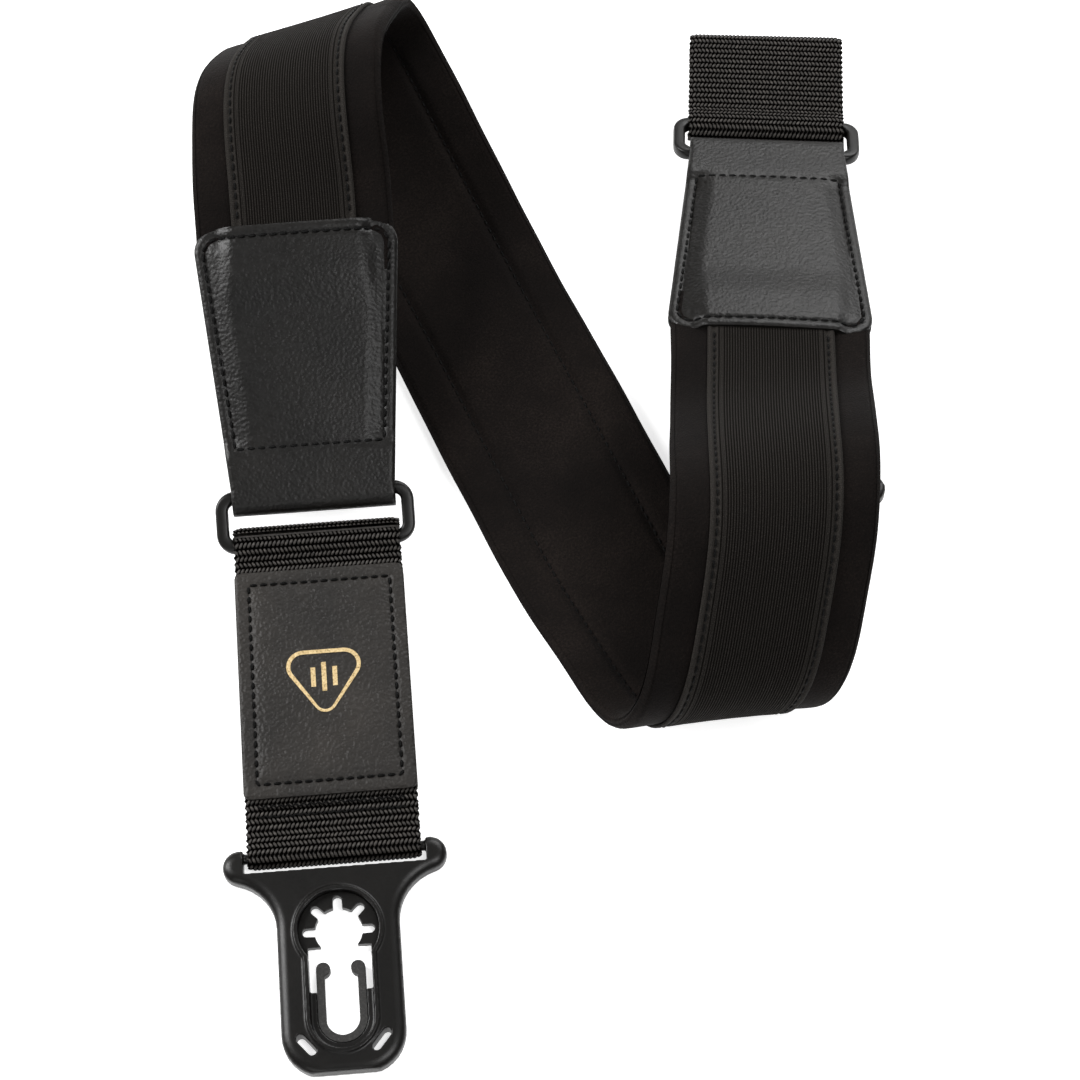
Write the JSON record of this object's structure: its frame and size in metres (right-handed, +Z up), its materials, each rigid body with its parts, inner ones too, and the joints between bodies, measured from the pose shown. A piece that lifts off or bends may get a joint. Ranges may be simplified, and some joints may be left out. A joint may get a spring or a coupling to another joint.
{
  "type": "padded guitar strap",
  "caption": "Padded neoprene instrument strap laid out in a folded N, with leather end tabs, rectangular loops, woven webbing and moulded slotted end locks.",
  "frame": {"origin": "on the table under the middle of the laid-out strap", "axes": "+Z up from the table, +Y along the long way of the laid-out strap, +X across it"},
  "size_m": [0.2108, 0.3481, 0.0716],
  "materials": {
    "neoprene": "matte",
    "band": "matte",
    "webbing": "matte",
    "leather": "satin",
    "thread": "matte",
    "plastic": "satin",
    "glass_filled_plastic": "matte",
    "foil": "satin"
  },
  "bodies": {
    "strap": {"neoprene_pad": "neoprene", "front_band": "band", "band_stitching": "thread", "left_tab": "leather", "right_tab": "leather", "left_tab_filler": "neoprene", "right_tab_filler": "neoprene", "left_tab_stitching": "thread", "right_tab_stitching": "thread"},
    "left_loop": {"left_ring": "plastic"},
    "left_strap_end": {"left_webbing": "webbing", "left_web_stitching": "thread", "front_patch": "leather", "back_patch": "leather", "patch_stitching": "thread", "patch_emblem": "foil"},
    "left_lock": {"left_lock_body": "plastic", "left_lock_fork": "glass_filled_plastic", "left_lock_finger_plate": "plastic"},
    "right_loop": {"right_ring": "plastic"},
    "right_strap_end": {"right_webbing": "webbing", "right_webbing_return": "webbing", "right_web_stitching": "thread", "slider": "plastic"},
    "right_lock": {"right_lock_body": "plastic", "right_lock_fork": "glass_filled_plastic", "right_lock_finger_plate": "plastic"}
  },
  "joints": [
    {"name": "left_loop_turn", "type": "hinge", "parent": "strap", "child": "left_loop", "pos_m": [-0.06689, 0.00141, 0.01328], "axis": [-0.9966, -0.082, 0], "range_deg": [0, 80]},
    {"name": "left_webbing_turn", "type": "hinge", "parent": "left_loop", "child": "left_strap_end", "pos_m": [-0.06574, -0.01257, 0.00796], "axis": [-0.9966, -0.082, 0], "range_deg": [0, 50]},
    {"name": "left_lock_turn", "type": "hinge", "parent": "left_strap_end", "child": "left_lock", "pos_m": [-0.05779, -0.10914, 0.0034], "axis": [-0.9966, -0.082, 0], "range_deg": [0, 40]},
    {"name": "right_loop_turn", "type": "hinge", "parent": "strap", "child": "right_loop", "pos_m": [0.07395, 0.12176, 0.01257], "axis": [0.9992, -0.0411, 0], "range_deg": [-3, 0]},
    {"name": "right_webbing_turn", "type": "hinge", "parent": "right_loop", "child": "right_strap_end", "pos_m": [0.07454, 0.13602, 0.00794], "axis": [0.9992, -0.0411, 0], "range_deg": [-3, 0]},
    {"name": "right_lock_turn", "type": "hinge", "parent": "right_strap_end", "child": "right_lock", "pos_m": [0.07326, 0.00473, 0.01268], "axis": [-0.9999, 0.0167, 0], "range_deg": [0, 14]}
  ]
}
